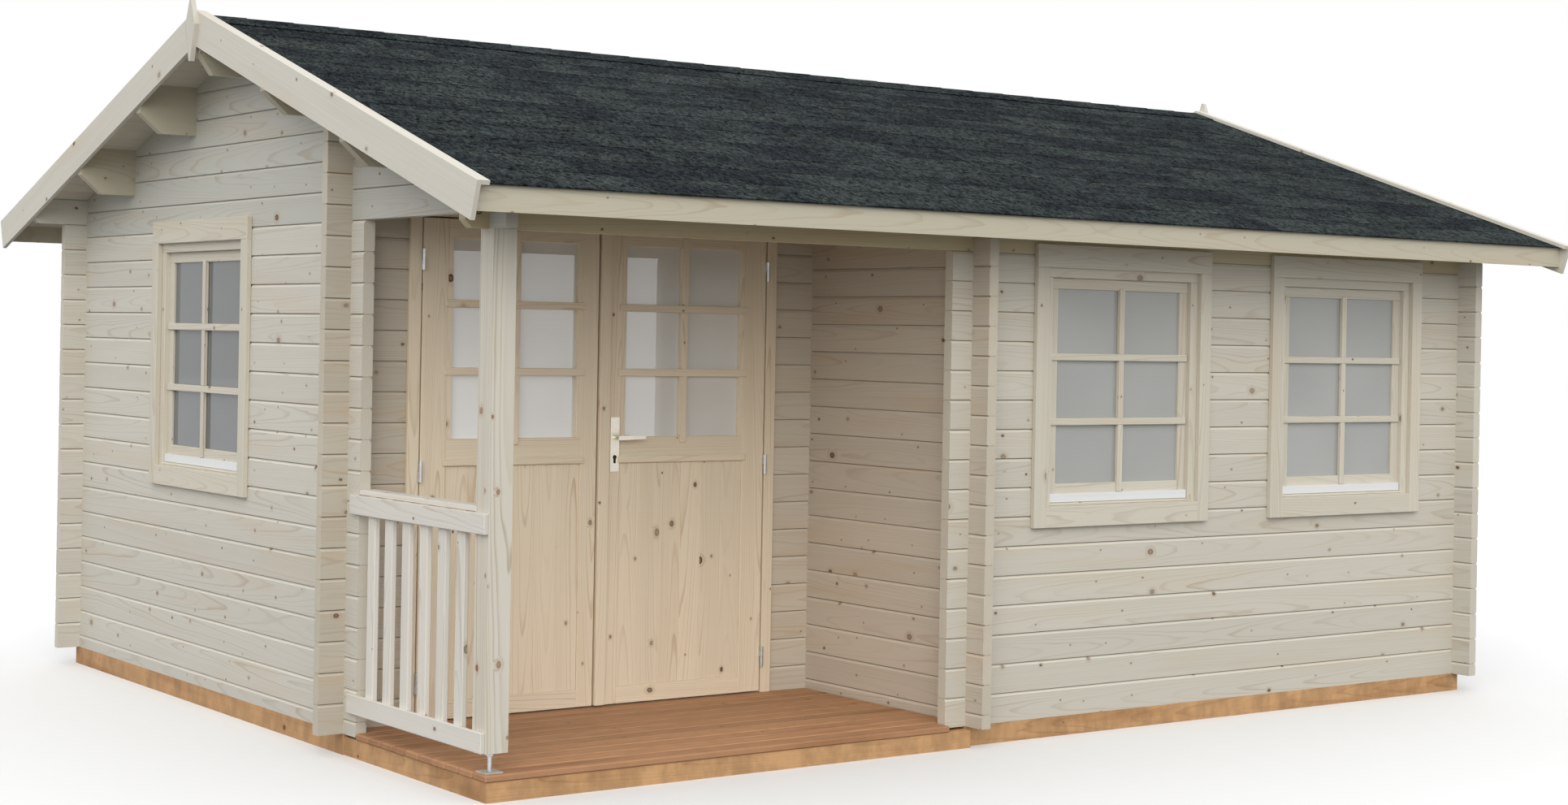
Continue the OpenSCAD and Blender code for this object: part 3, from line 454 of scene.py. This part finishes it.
class Boards:
    """Chamfered boards in one mesh. Each board has its own run of grain and its own tone."""

    def __init__(self, seed):
        self.mesh = bmesh.new()
        layers = self.mesh.verts.layers
        self.grain = layers.float_vector.new("grain")
        self.run = layers.float_vector.new("run")
        self.side = layers.float_vector.new("side")
        self.tone = layers.float.new("tone")
        self.chance = random.Random(seed)

    def add(self, low, high, along, chamfer=EDGE, move=None):
        """A board between two corners, with its grain along one axis, moved by a matrix."""
        low, high = Vector(low), Vector(high)
        half = (high - low) / 2
        middle = (high + low) / 2
        move = move or Matrix.Identity(4)
        rest = sorted((i for i in range(3) if i != along), key=lambda i: -half[i])
        order = (along, *rest)
        start = (self.chance.uniform(0, 40), self.chance.uniform(-0.07, 0.07), self.chance.uniform(0.02, 0.12))
        run, side = (move.to_3x3().col[i].copy() for i in order[:2])
        tone = self.chance.random()
        made = {}
        for corner in CORNERS:
            for face in range(3):
                local = Vector([s * (half[i] - (0 if i == face else chamfer)) for i, s in enumerate(corner)])
                vertex = self.mesh.verts.new(move @ (local + middle))
                vertex[self.grain] = Vector([local[i] + start[k] for k, i in enumerate(order)])
                vertex[self.run] = run
                vertex[self.side] = side
                vertex[self.tone] = tone
                made[corner, face] = vertex
        for face in range(3):
            i, j = (face + 1) % 3, (face + 2) % 3
            for s in (-1, 1):
                loop = [corner_of(face, s, a, b) for a, b in ((-1, -1), (1, -1), (1, 1), (-1, 1))]
                self.mesh.faces.new([made[corner, face] for corner in loop])
            for a in (-1, 1):
                for b in (-1, 1):
                    one, two = corner_of(face, -1, a, b), corner_of(face, 1, a, b)
                    self.mesh.faces.new([made[one, i], made[two, i], made[two, j], made[one, j]])
        for corner in CORNERS:
            self.mesh.faces.new([made[corner, face] for face in range(3)])

    def surround(self, low, high, sides, bottom, top, y0, y1, chamfer=EDGE, move=None):
        """Boards round an opening in the XZ plane: the top lies on the sides, the bottom stands between them."""
        (x0, z0), (x1, z1) = low, high
        self.add((x0, y0, z0), (x0 + sides, y1, z1 - top), Z, chamfer, move)
        self.add((x1 - sides, y0, z0), (x1, y1, z1 - top), Z, chamfer, move)
        self.add((x0, y0, z1 - top), (x1, y1, z1), X, chamfer, move)
        if bottom:
            self.add((x0 + sides, y0, z0), (x1 - sides, y1, z0 + bottom), X, chamfer, move)

    def piece(self, name, look, body="house", slot=None, instead=()):
        """Ends the mesh and makes it a piece of the house."""
        place_mesh(self.mesh, name, look, body, instead)


def link(name, data):
    """A new object in the scene."""
    made = bpy.data.objects.new(name, data)
    bpy.context.scene.collection.objects.link(made)
    return made


def link_mesh(mesh, name, look):
    """A new object made of a mesh in one material."""
    data = bpy.data.meshes.new(name)
    mesh.to_mesh(data)
    mesh.free()
    data.materials.append(look)
    return link(name, data)


def place_mesh(mesh, name, look, body, instead=()):
    """A piece of the house that rides on a body, and may stand in place of CAD nodes."""
    bmesh.ops.recalc_face_normals(mesh, faces=mesh.faces)
    made = link_mesh(mesh, name, look)
    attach(made, body)
    if instead:
        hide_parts(*instead)


def join(mesh, one, two):
    """Faces between two rings of vertices."""
    for k in range(len(one)):
        mesh.faces.new([one[k - 1], one[k], two[k], two[k - 1]])


# Porch deck: boards along X, short where log ends stand in the deck
low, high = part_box("porch_deck")
ROWS = 11
GAP = 5 * MM
DECK_EDGE = 5 * MM
step = (high.y - low.y) / ROWS
left_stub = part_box("left_wall")
front_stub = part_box("front_wall")
deck = Boards(1)
for row in range(ROWS):
    y0 = low.y + row * step
    y1 = y0 + step - (GAP if row < ROWS - 1 else 0)
    x0 = left_stub[0].x + LOG_T + GAP if y1 > left_stub[0].y else low.x
    x1 = front_stub[0].x - GAP if y0 < front_stub[1].y else high.x
    deck.add((x0, y0, low.z), (x1, y1, high.z), X, DECK_EDGE)
deck.piece("deck_boards", BOARD["deck"], slot="treated_wood", instead=["porch_deck"])

# Room floor: boards along X, cut round the log ends at the porch's inner corner
low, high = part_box("room_floor")
side_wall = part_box("porch_side_wall")
door_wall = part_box("door_wall_right")
FLOOR_BOARD = 94.5 * MM
FLOOR_GAP = 0.6 * MM
floor = Boards(2)
count = round((high.y - low.y) / FLOOR_BOARD)
step = (high.y - low.y) / count
for row in range(count):
    y0 = low.y + row * step
    y1 = y0 + step - FLOOR_GAP
    spans = [(low.x, high.x)]
    if y0 < door_wall[1].y + GAP:
        start = door_wall[1].x if y1 > door_wall[0].y - GAP else side_wall[1].x
        spans = [(start + GAP, high.x)]
    elif y0 < side_wall[1].y + GAP:
        spans = [(low.x, side_wall[0].x - GAP), (side_wall[1].x + GAP, high.x)]
    for x0, x1 in spans:
        floor.add((x0, y0, low.z), (x1, y1, high.z), X)
floor.piece("floor_boards", BOARD["floor"], slot="floor_wood", instead=["room_floor"])

# Roof: boards along the ridge under the felt, then courses of felt from the eaves up
ridge_y = (Y0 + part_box("back_wall")[1].y) / 2
BOARD_T = 20 * MM
FELT_T = 5 * MM
LAY = 0.3 * MM
boards_low, boards_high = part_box("roof_boards_front")
felt_low, felt_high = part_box("shingles_front")
RIDGE = Vector((0, ridge_y, boards_high.z - BOARD_T / math.cos(PITCH)))
BOARD_RUN = (ridge_y - boards_low.y) / math.cos(PITCH)
FELT_RUN = (ridge_y - felt_low.y) / math.cos(PITCH)
ROOF_BOARD = 95.5 * MM
BOARD_GAP = 0.4 * MM
TOP_TRIM = 8 * MM  # of the first board, at the ridge
COURSE = 211.5 * MM
OVERLAP = 20 * MM
TOP_GAP = 4 * MM
TAB = 1 / 3  # of a metre
UNEVEN = 5 * MM
CUT_EDGE = 12 * MM
COURSE_LOWER = (2.2 * MM, 3.6 * MM)  # underside and top of a course over the roof boards, at its lower edge
COURSE_UPPER = 2 * MM  # its top at its upper edge


def slope(side):
    """Carries (x, distance down from the ridge, height over the roof's underside) onto a slope."""
    down = Vector((0, -side * math.cos(PITCH), -math.sin(PITCH)))
    out = Vector((0, -side * math.sin(PITCH), math.cos(PITCH)))
    columns = Matrix((Vector((1, 0, 0)), down, out)).transposed().to_4x4()
    return Matrix.Translation(RIDGE) @ columns


def felt_mesh():
    """A mesh for strips of felt, with what their vertices carry: the nearness of a cut edge, and the strip's tone."""
    mesh = bmesh.new()
    return mesh, (mesh.verts.layers.float.new("edge"), mesh.verts.layers.float.new("tone"))


def felt_vertex(mesh, layers, point, edge, tone):
    """A vertex of a strip of felt."""
    vertex = mesh.verts.new(point)
    vertex[layers[0]] = edge
    vertex[layers[1]] = tone
    return vertex


def wedge(mesh, layers, move, x0, x1, s0, s1, lower, upper, tone):
    """A strip of felt from s1 up to s0, thick at its lower edge."""
    corners = [(s1, lower[0], 1.0), (s1, lower[1], 1.0), (s1 - CUT_EDGE, lower[1], 0.0), (s0, upper[1], 0.0),
               (s0, upper[0], 0.0)]
    one, two = ([felt_vertex(mesh, layers, move @ Vector((x, s, n)), edge, tone) for s, n, edge in corners]
                for x in (x0, x1))
    join(mesh, one, two)
    mesh.faces.new(one)
    mesh.faces.new(two[::-1])


for side, name in ((1, "front"), (-1, "back")):
    move = slope(side)
    lining = Boards(3 + side)
    count = round(BOARD_RUN / ROOF_BOARD)
    step = BOARD_RUN / count
    for row in range(count):
        trim = TOP_TRIM if row == 0 else 0
        lining.add((boards_low.x, row * step + trim, 0), (boards_high.x, (row + 1) * step - BOARD_GAP, BOARD_T), X,
                   ROUND, move)
    lining.piece(f"roof_lining_{name}", BOARD["roof"], slot="roof_wood", instead=[f"roof_boards_{name}"])

    felt, layers = felt_mesh()
    chance = random.Random(20 + side)
    base = BOARD_T + LAY
    for row in range(math.ceil(FELT_RUN / COURSE)):
        s1 = FELT_RUN - row * COURSE
        s0 = max(s1 - COURSE - OVERLAP, TOP_GAP)
        lower = [base + height for height in (COURSE_LOWER if row else (0, FELT_T))]
        x = felt_low.x - (TAB / 2 if row % 2 else 0)
        while x < felt_high.x:
            reach = TAB * chance.choice((1, 1, 2))
            down = s1 - (chance.uniform(0, UNEVEN) if row else 0)
            wedge(felt, layers, move, max(x, felt_low.x), min(x + reach, felt_high.x), s0, down,
                  lower, (base, base + COURSE_UPPER), row + 0.3 * chance.random())
            x += reach
    place_mesh(felt, f"felt_courses_{name}", FELT, "house", [f"shingles_{name}"])

# Ridge caps: strips of felt folded over the ridge, each over the end of the one before it
CAP_W = 125 * MM
CAP_STEP = 200 * MM
CAP_LIFT = (1.5 * MM, 3.5 * MM)
CAP_LOW = BOARD_T + LAY + FELT_T + LAY
caps, layers = felt_mesh()
chance = random.Random(24)
count = round((felt_high.x - felt_low.x) / CAP_STEP)
step = (felt_high.x - felt_low.x) / count
for k in range(count):
    tone = chance.random()
    rings = []
    for x, lift in zip((felt_low.x + k * step, felt_low.x + (k + 1) * step), CAP_LIFT):
        over = CAP_LOW + lift
        ring = []
        for side, n in ((1, CAP_LOW), (1, over), (0, over), (-1, over), (-1, CAP_LOW), (0, CAP_LOW)):
            if side:
                point = slope(side) @ Vector((x, CAP_W, n))
            else:
                point = RIDGE + Vector((x, 0, n / math.cos(PITCH)))
            ring.append(felt_vertex(caps, layers, point, 0.0, tone))
        rings.append(ring)
    join(caps, *rings)
    for ring in rings:
        caps.faces.new([ring[0], ring[1], ring[2], ring[5]])
        caps.faces.new([ring[5], ring[2], ring[3], ring[4]])
place_mesh(caps, "ridge_caps", FELT, "house")

# Railing
railing = Boards(8)
low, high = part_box("rails")
RAIL_H = 70 * MM
RAIL_GAP = 0.2 * MM
hand_low, hand_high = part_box("handrail")
for z0, z1 in ((low.z, low.z + RAIL_H), (high.z - RAIL_H, hand_low.z - RAIL_GAP)):
    railing.add((low.x, low.y, z0), (high.x, high.y, z1), Y, SOFT)
railing.piece("rail_boards", BOARD["rail"], slot="trim_wood", instead=["rails"])
hand = Boards(9)
hand.add(hand_low, hand_high, Y, ROUND)
hand.piece("handrail_board", BOARD["rail"], slot="trim_wood", instead=["handrail"])
low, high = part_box("balusters")
BALUSTERS = 6
BALUSTER_W = 58 * MM
pales = Boards(10)
for k in range(BALUSTERS):
    y0 = low.y + k * (high.y - low.y - BALUSTER_W) / (BALUSTERS - 1)
    pales.add((low.x, y0, low.z), (high.x, y0 + BALUSTER_W, high.z), Z, ROUND)
pales.piece("baluster_boards", BOARD["rail"], slot="trim_wood", instead=["balusters"])

# Door: boards of its casing, and the wood of its threshold and frame
low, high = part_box("door_casing")
CASING = 48 * MM
trim = Boards(11)
trim.surround((low.x, low.z), (high.x, high.z), CASING, 0, CASING, low.y, high.y, SOFT)
trim.piece("door_casing_boards", BOARD["door"], slot="joinery_wood", instead=["door_casing"])
paint("door_threshold", solid_wood("wood_threshold", DOOR, X, Y, Z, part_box("door_threshold")[0], seed=90.0))
paint("door_frame", solid_wood("wood_door_frame", DOOR, Z, Y, X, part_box("door_frame")[0], seed=91.0))


def cross_bars(boards, low, high, x, heights, width, y0, y1, move=None):
    """Glazing bars between two corners: whole bars across, and an upright in pieces between them."""
    half = width / 2
    for z in heights:
        boards.add((low[0], y0, z - half), (high[0], y1, z + half), X, SOFT, move)
    starts = [low[1], *(z + half for z in heights)]
    stops = [*(z - half for z in heights), high[1]]
    for z0, z1 in zip(starts, stops):
        boards.add((x - half, y0, z0), (x + half, y1, z1), Z, SOFT, move)


# Door leaves: places over the house's own corner, then sizes
LEAF_FACE = at(0, 1026, 0).y
RAIL_TOP, PANEL_TOP, STRIP_TOP = (at(0, 0, z).z for z in (90, 973, 1001))
DOOR_BARS = [at(0, 0, z).z for z in (1330, 1586)]
LET_IN, BEAD, COVER_W = 6 * MM, 20 * MM, 47 * MM
PANELS, PANEL_IN, PANEL_EDGE = 6, 5 * MM, 1.8 * MM
DOOR_BAR, BAR_OUT, BAR_BACK = 29 * MM, 7 * MM, 5 * MM
BAR_LAP, BAR_BELOW, BAR_ABOVE = 34 * MM, 24 * MM, 40 * MM
SEAT = 0.3 * MM  # between a bar and the pane


def leaf(name, body, seed):
    """Stiles, rails, boarded panel and glazing bars of one leaf, and on the right one the strip over the gap."""
    low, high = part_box(name)
    glass_low, glass_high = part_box(name + "_glass")
    back = high.y
    gx0, gx1 = glass_low.x + LET_IN, glass_high.x - LET_IN
    gz0, gz1 = glass_low.z + LET_IN, glass_high.z - LET_IN
    x0, x1 = gx0 - BEAD, gx1 + BEAD
    wood = Boards(seed)
    wood.add((low.x, LEAF_FACE, low.z), (x0, back, high.z), Z, SOFT)
    wood.add((x1, LEAF_FACE, low.z), (high.x, back, high.z), Z, SOFT)
    for y0, y1 in ((LEAF_FACE, glass_low.y), (glass_high.y, back)):
        wood.add((x0, y0, gz0), (gx0, y1, gz1), Z, FINE)
        wood.add((gx1, y0, gz0), (x1, y1, gz1), Z, FINE)
    for z0, z1 in ((gz1, high.z), (PANEL_TOP, gz0), (low.z, RAIL_TOP)):
        wood.add((x0, LEAF_FACE, z0), (x1, back, z1), X)
    step = (x1 - x0) / PANELS
    for k in range(PANELS):
        wood.add((x0 + k * step, LEAF_FACE + PANEL_IN, RAIL_TOP),
                 (x0 + (k + 1) * step, back - PANEL_IN, PANEL_TOP), Z, PANEL_EDGE)
    if body == "right_door":
        wood.add((low.x, low.y, low.z), (low.x + COVER_W, LEAF_FACE, high.z), Z, SOFT)
    x = (gx0 + gx1) / 2
    wide = (gx0 - BAR_LAP, gz0 - BAR_BELOW), (gx1 + BAR_LAP, gz1 + BAR_ABOVE)
    for y0, y1, y2 in ((LEAF_FACE - BAR_OUT, LEAF_FACE, glass_low.y - SEAT),
                       (back + BAR_BACK, back, glass_high.y + SEAT)):
        near, far = sorted((y0, y1))
        wood.add((gx0 - BAR_LAP, near, PANEL_TOP), (gx1 + BAR_LAP, far, STRIP_TOP), X, ROUND)
        cross_bars(wood, *wide, x, DOOR_BARS, DOOR_BAR, near, far)
        near, far = sorted((y1, y2))
        cross_bars(wood, (gx0, gz0), (gx1, gz1), x, DOOR_BARS, DOOR_BAR, near, far)
    wood.piece(name + "_boards", BOARD["door"], body, "joinery_wood", [name])


leaf("left_leaf", "left_door", 30)
leaf("right_leaf", "right_door", 31)

# Windows: casing, frame, sash, bars and drip strip of one window, set at each place
casing_low, casing_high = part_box("window_casings")
FRONT_W, GABLE_W, WIN_H = 964.4 * MM, 1008 * MM, 1117 * MM
FRONT_X = (2891.1, 4227.9)  # middles of the front windows
FRONT_UPRIGHT, GABLE_UPRIGHT = 6 * MM, -14 * MM  # the upright bar, off the window's middle
SIDE, HEAD, FOOT, CASING_T = 62 * MM, 92 * MM, 82 * MM, 22 * MM
FRAME, FRAME_LOW, LAP = 38 * MM, 28 * MM, 17 * MM
SILL_UP, SILL_D, SILL_T, SILL_EDGE = 4 * MM, 23 * MM, 3 * MM, 0.5 * MM
SILL_TILT = math.radians(28)
SASH_SIDE, SASH_TOP, SASH_LOW, SASH_IN = 46 * MM, 44 * MM, 60 * MM, 20 * MM
PANE_T, BAR, BAR_T, BAR_END, BARS_DOWN = 4 * MM, 28 * MM, 8 * MM, 6 * MM, 12 * MM
DRIP_LOW, DRIP_HIGH, DRIP_T, DRIP_END = 97 * MM, 131 * MM, 12 * MM, 2 * MM
places = [(FRONT_W, FRONT_UPRIGHT, Matrix.Translation(Vector((at(x, 0, 0).x, Y0, casing_low.z)))) for x in FRONT_X]
gable = Matrix.Translation(Vector((X0, casing_high.y - GABLE_W / 2, casing_low.z + LOG_H / 2)))
places.append((GABLE_W, GABLE_UPRIGHT, gable @ Matrix.Rotation(-math.pi / 2, 4, "Z")))
casings, frames, sashes, bars, drips = (Boards(seed) for seed in range(40, 45))
for width, upright, move in places:
    half = width / 2
    casings.surround((-half, 0), (half, WIN_H), SIDE, FOOT, HEAD, -CASING_T, 0, SOFT, move)
    inner = half - SIDE
    low, high = (-inner - LAP, FOOT - LAP), (inner + LAP, WIN_H - HEAD + LAP)
    frames.surround(low, high, FRAME + LAP, LAP + SILL_UP, FRAME + LAP, 0, LOG_T, SOFT, move)
    sx = inner - FRAME
    sz0, sz1 = FOOT + FRAME_LOW, WIN_H - HEAD - FRAME
    sill = FOOT + SILL_UP
    tilt = Matrix.Translation(Vector((0, 0, sill))) @ Matrix.Rotation(SILL_TILT, 4, "X")
    frames.add((-sx, 0, 0), (sx, SILL_D, SILL_T), X, SILL_EDGE, move @ tilt)
    frames.add((-sx, SASH_IN + SILL_T, sill), (sx, LOG_T, sz0), X, FINE, move)
    sashes.surround((-sx, sz0), (sx, sz1), SASH_SIDE, SASH_LOW, SASH_TOP, SASH_IN, LOG_T, SOFT, move)
    gx = sx - SASH_SIDE
    gz0, gz1 = sz0 + SASH_LOW, sz1 - SASH_TOP
    heights = [gz0 + share * (gz1 - gz0) / 3 - BARS_DOWN for share in (1, 2)]
    pane = (SASH_IN + LOG_T) / 2
    for low, high, y0, y1 in (
            ((-sx + BAR_END, DRIP_HIGH + MM), (sx - BAR_END, gz1 + BAR_T), SASH_IN - BAR_T, SASH_IN),
            ((-gx, gz0), (gx, gz1), SASH_IN, pane - PANE_T / 2 - SEAT),
            ((-gx, gz0), (gx, gz1), pane + PANE_T / 2 + SEAT, LOG_T)):
        cross_bars(bars, low, high, upright, heights, BAR, y0, y1, move)
    drips.add((-sx + DRIP_END, SASH_IN - DRIP_T, DRIP_LOW), (sx - DRIP_END, SASH_IN, DRIP_HIGH), X, EDGE, move)
casings.piece("window_casing_boards", BOARD["window"], slot="joinery_wood", instead=["window_casings"])
frames.piece("window_frame_boards", BOARD["window"], slot="joinery_wood", instead=["window_frames"])
sashes.piece("window_sash_boards", BOARD["window"], slot="joinery_wood", instead=["window_sashes"])
bars.piece("window_bars", BOARD["window"], slot="joinery_wood")
drips.piece("window_drip_strips", DRIP, slot="handle_metal")

# Keyhole in the handle plate: the end of a lock cylinder, round above a narrow neck
low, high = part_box("handle_plate")
KEY_Z = 996
KEY_FACES = (-1.2 * MM, -0.1 * MM)
CYLINDER_R, NECK_HALF, NECK_LOW, NECK_CUT = 8.5 * MM, 5 * MM, 24.5 * MM, 3 * MM
middle = Vector(((low.x + high.x) / 2, low.y, at(0, 0, KEY_Z).z))
turns = [math.radians(-54 + 288 * k / 20) for k in range(21)]
outline = [(CYLINDER_R * math.cos(t), CYLINDER_R * math.sin(t)) for t in turns]
outline += [(-NECK_HALF, -NECK_LOW + NECK_CUT), (-NECK_HALF + NECK_CUT, -NECK_LOW),
            (NECK_HALF - NECK_CUT, -NECK_LOW), (NECK_HALF, -NECK_LOW + NECK_CUT)]
hole = bmesh.new()
rings = [[hole.verts.new(middle + Vector((x, y, z))) for x, z in outline] for y in KEY_FACES]
join(hole, *rings)
for ring in rings:
    hole.faces.new(ring)
place_mesh(hole, "lock_cylinder", KEYHOLE, "right_door")

# Camera, at the photograph's place and angle
FOCAL, FRAME_W, FRAME_H = 2935.9, 1930, 991  # in pixels of the photograph
AXIS_U, AXIS_V = 1031.03, 418.89
CAMERA_AT = at(-3814.1, -7011.9, 1483.0)
yaw, tilt, roll = (math.radians(v) for v in (36.894, -0.065, 1.035))
look_at = Vector((math.sin(yaw) * math.cos(tilt), math.cos(yaw) * math.cos(tilt), math.sin(tilt)))
right = Vector((math.cos(yaw), -math.sin(yaw), 0))
up = right.cross(look_at)
columns = (math.cos(roll) * right + math.sin(roll) * up, math.cos(roll) * up - math.sin(roll) * right, -look_at)
lens = bpy.data.cameras.new("camera")
lens.sensor_width = 36
lens.lens = FOCAL * lens.sensor_width / FRAME_W
lens.shift_x = (FRAME_W / 2 - AXIS_U) / FRAME_W
lens.shift_y = (AXIS_V - FRAME_H / 2) / FRAME_W
lens.clip_end = 200
camera = link("camera", lens)
camera.matrix_world = Matrix.Translation(CAMERA_AT) @ Matrix(columns).transposed().to_4x4()
bpy.context.scene.camera = camera

# Floor, light and background: the camera sees a pale floor and a white sky, and a darker floor and a faintly blue sky
# light the house
FLOOR_SIZE = 60
FLOOR_LIT, FLOOR_SEEN = (0.14, 0.14, 0.14, 1.0), (0.9, 0.9, 0.9, 1.0)
FLOOR_ROUGH = 0.9
floor_mesh = bmesh.new()
bmesh.ops.create_grid(floor_mesh, x_segments=1, y_segments=1, size=FLOOR_SIZE)
pale = material("studio_floor")
ground = link_mesh(floor_mesh, "studio_floor", pale.finish(pale.mix(pale.seen(), FLOOR_LIT, FLOOR_SEEN), FLOOR_ROUGH))

SUN_WAY = Vector((0.52, 0.70, -0.49))
sun = bpy.data.lights.new("key", "SUN")
sun.energy = 1.35
sun.angle = math.radians(55)
sun.color = (1.0, 0.97, 0.92)
link("key", sun).rotation_euler = SUN_WAY.to_track_quat("-Z", "Y").to_euler()

world = bpy.data.worlds.new("studio")
bpy.context.scene.world = world
sky = Graph(world)
sky.tree.nodes.clear()
soft = sky.node("Background", {"Color": (0.97, 0.985, 1.0, 1.0), "Strength": 1.08}).outputs[0]
white = sky.node("Background", {"Color": (1.0, 1.0, 1.0, 1.0), "Strength": 1.0}).outputs[0]
mixed = sky.node("MixShader", {0: sky.seen(), 1: soft, 2: white}).outputs[0]
sky.node("OutputWorld", {"Surface": mixed})
bpy.context.scene.view_settings.view_transform = "Standard"
